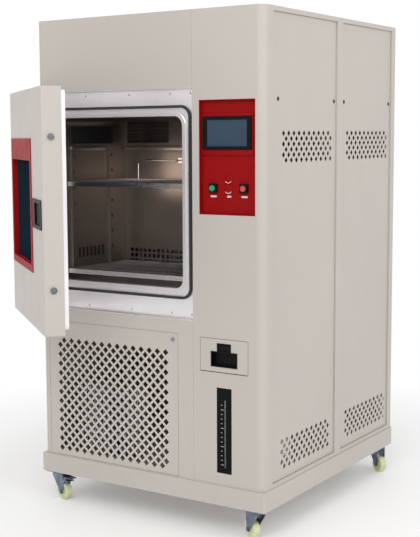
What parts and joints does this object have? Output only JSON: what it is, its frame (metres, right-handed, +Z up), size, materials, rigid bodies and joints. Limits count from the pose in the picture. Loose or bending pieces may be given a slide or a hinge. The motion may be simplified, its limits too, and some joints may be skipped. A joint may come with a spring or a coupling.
{
  "type": "xenon weathering chamber",
  "caption": "Floor-standing xenon lamp weathering test chamber on casters, with a hinged window door, a shelved stainless test space, a control column and vented machine bays.",
  "frame": {"origin": "on the floor under the middle of the cabinet", "axes": "+X to the right of someone facing the door, +Y to the back, +Z up"},
  "size_m": [1.0604, 1.5718, 1.81],
  "materials": {
    "cream_paint": "fine textured powder coat",
    "red_paint": "satin powder coat",
    "stainless": "brushed",
    "bright_steel": "polished",
    "zinc": "bright zinc plate",
    "aluminium_sheet": "satin",
    "dark_casting": "satin black paint",
    "black_rubber": "matt",
    "black_plastic": "satin",
    "white_plastic": "satin",
    "green_plastic": "gloss",
    "red_plastic": "gloss",
    "wheel_nylon": "satin",
    "dark_glass": "gloss",
    "clear_glass": "gloss"
  },
  "bodies": {
    "cabinet": {"cabinet_frame": "cream_paint", "front_column": "cream_paint", "upper_front_panel": "cream_paint", "lower_front_frame": "cream_paint", "vent_panel": "cream_paint", "right_front_panel": "cream_paint", "right_rear_panel": "cream_paint", "left_side_panels": "cream_paint", "roof_panel": "cream_paint", "rear_cover": "cream_paint", "door_flange": "stainless", "chamber_liner": "stainless", "flange_gasket": "black_rubber", "rear_duct_panel": "stainless", "shelf_posts": "stainless", "upper_shelf": "stainless", "lower_shelf": "stainless", "sensor_rod": "bright_steel", "lamp_house": "aluminium_sheet", "xenon_lamps": "clear_glass", "filter_glass": "clear_glass", "fan_motors": "dark_casting", "air_heater": "bright_steel", "cooling_coil": "aluminium_sheet", "condenser": "aluminium_sheet", "compressor": "dark_casting", "humidifier": "stainless", "water_tank": "white_plastic", "control_panel": "red_paint", "screen_bezel": "black_plastic", "touch_screen": "dark_glass", "button_bases": "black_plastic", "level_window": "dark_glass", "hinge_brackets": "zinc", "caster_plates": "zinc"},
    "door": {"door_shell": "cream_paint", "door_pan": "stainless", "window_bezel": "red_paint", "window_glass": "dark_glass", "handle_body": "black_plastic", "door_studs": "bright_steel", "hinge_hangers": "zinc"},
    "handle_lever": {"handle_lever": "black_plastic"},
    "tank_flap": {"tank_flap": "cream_paint", "latch_cup": "black_plastic"},
    "latch_tab": {"latch_tab": "black_plastic"},
    "green_button": {"green_button": "green_plastic"},
    "red_button": {"red_button": "red_plastic"},
    "vent_lock": {"vent_lock": "bright_steel"},
    "circulation_fan": {"circulation_fan": "aluminium_sheet"},
    "condenser_fan": {"condenser_fan": "black_plastic"},
    "brake_pedal": {"brake_pedal": "zinc"},
    "front_left_fork": {"front_left_fork": "zinc"},
    "front_left_wheel": {"front_left_wheel": "wheel_nylon"},
    "front_right_fork": {"front_right_fork": "zinc"},
    "front_right_wheel": {"front_right_wheel": "wheel_nylon"},
    "rear_right_fork": {"rear_right_fork": "zinc"},
    "rear_right_wheel": {"rear_right_wheel": "wheel_nylon"},
    "rear_left_fork": {"rear_left_fork": "zinc"},
    "rear_left_wheel": {"rear_left_wheel": "wheel_nylon"}
  },
  "joints": [
    {"name": "door_hinge", "type": "hinge", "parent": "cabinet", "child": "door", "pos_m": [-0.515, -0.48, 1.146], "axis": [0, 0, 1], "range_deg": [-71, 40]},
    {"name": "handle_pivot", "type": "hinge", "parent": "door", "child": "handle_lever", "pos_m": [-0.14143, -0.93183, 1.1355], "axis": [0, 0, 1], "range_deg": [-25, 0], "stiffness_Nm_per_rad": 0.3},
    {"name": "flap_hinge", "type": "hinge", "parent": "cabinet", "child": "tank_flap", "pos_m": [0.33, -0.5255, 0.5825], "axis": [1, 0, 0], "range_deg": [0, 90]},
    {"name": "latch_pivot", "type": "hinge", "parent": "tank_flap", "child": "latch_tab", "pos_m": [0.328, -0.524, 0.6655], "axis": [1, 0, 0], "range_deg": [0, 15], "stiffness_Nm_per_rad": 0.05},
    {"name": "green_press", "type": "slide", "parent": "cabinet", "child": "green_button", "axis": [0, 1, 0], "range_m": [0, 0.004], "stiffness_N_per_m": 300},
    {"name": "red_press", "type": "slide", "parent": "cabinet", "child": "red_button", "axis": [0, 1, 0], "range_m": [0, 0.004], "stiffness_N_per_m": 300},
    {"name": "vent_lock_turn", "type": "hinge", "parent": "cabinet", "child": "vent_lock", "pos_m": [0.117, -0.525, 0.676], "axis": [0, 1, 0], "range_deg": [0, 90]},
    {"name": "circulation_spin", "type": "hinge", "parent": "cabinet", "child": "circulation_fan", "pos_m": [-0.125, -0.042, 1.275], "axis": [0, 1, 0], "continuous": true},
    {"name": "condenser_spin", "type": "hinge", "parent": "cabinet", "child": "condenser_fan", "pos_m": [-0.24, -0.335, 0.318], "axis": [0, 1, 0], "continuous": true},
    {"name": "front_left_swivel", "type": "hinge", "parent": "cabinet", "child": "front_left_fork", "pos_m": [-0.437, -0.495, 0.1], "axis": [0, 0, 1], "continuous": true},
    {"name": "front_left_roll", "type": "hinge", "parent": "front_left_fork", "child": "front_left_wheel", "pos_m": [-0.40995, -0.50225, 0.032], "axis": [-0.2588, -0.9659, 0], "continuous": true},
    {"name": "brake_press", "type": "hinge", "parent": "front_left_fork", "child": "brake_pedal", "pos_m": [-0.40416, -0.5038, 0.0917], "axis": [-0.2588, -0.9659, 0], "range_deg": [-15, 0], "stiffness_Nm_per_rad": 2},
    {"name": "front_right_swivel", "type": "hinge", "parent": "cabinet", "child": "front_right_fork", "pos_m": [0.437, -0.495, 0.1], "axis": [0, 0, 1], "continuous": true},
    {"name": "front_right_roll", "type": "hinge", "parent": "front_right_fork", "child": "front_right_wheel", "pos_m": [0.41205, -0.48229, 0.032], "axis": [0.454, 0.891, 0], "continuous": true},
    {"name": "rear_right_swivel", "type": "hinge", "parent": "cabinet", "child": "rear_right_fork", "pos_m": [0.437, 0.495, 0.1], "axis": [0, 0, 1], "continuous": true},
    {"name": "rear_right_roll", "type": "hinge", "parent": "rear_right_fork", "child": "rear_right_wheel", "pos_m": [0.46075, 0.48016, 0.032], "axis": [-0.5299, -0.848, 0], "continuous": true},
    {"name": "rear_left_swivel", "type": "hinge", "parent": "cabinet", "child": "rear_left_fork", "pos_m": [-0.437, 0.495, 0.1], "axis": [0, 0, 1], "continuous": true},
    {"name": "rear_left_roll", "type": "hinge", "parent": "rear_left_fork", "child": "rear_left_wheel", "pos_m": [-0.41069, 0.48542, 0.032], "axis": [-0.342, -0.9397, 0], "continuous": true}
  ]
}
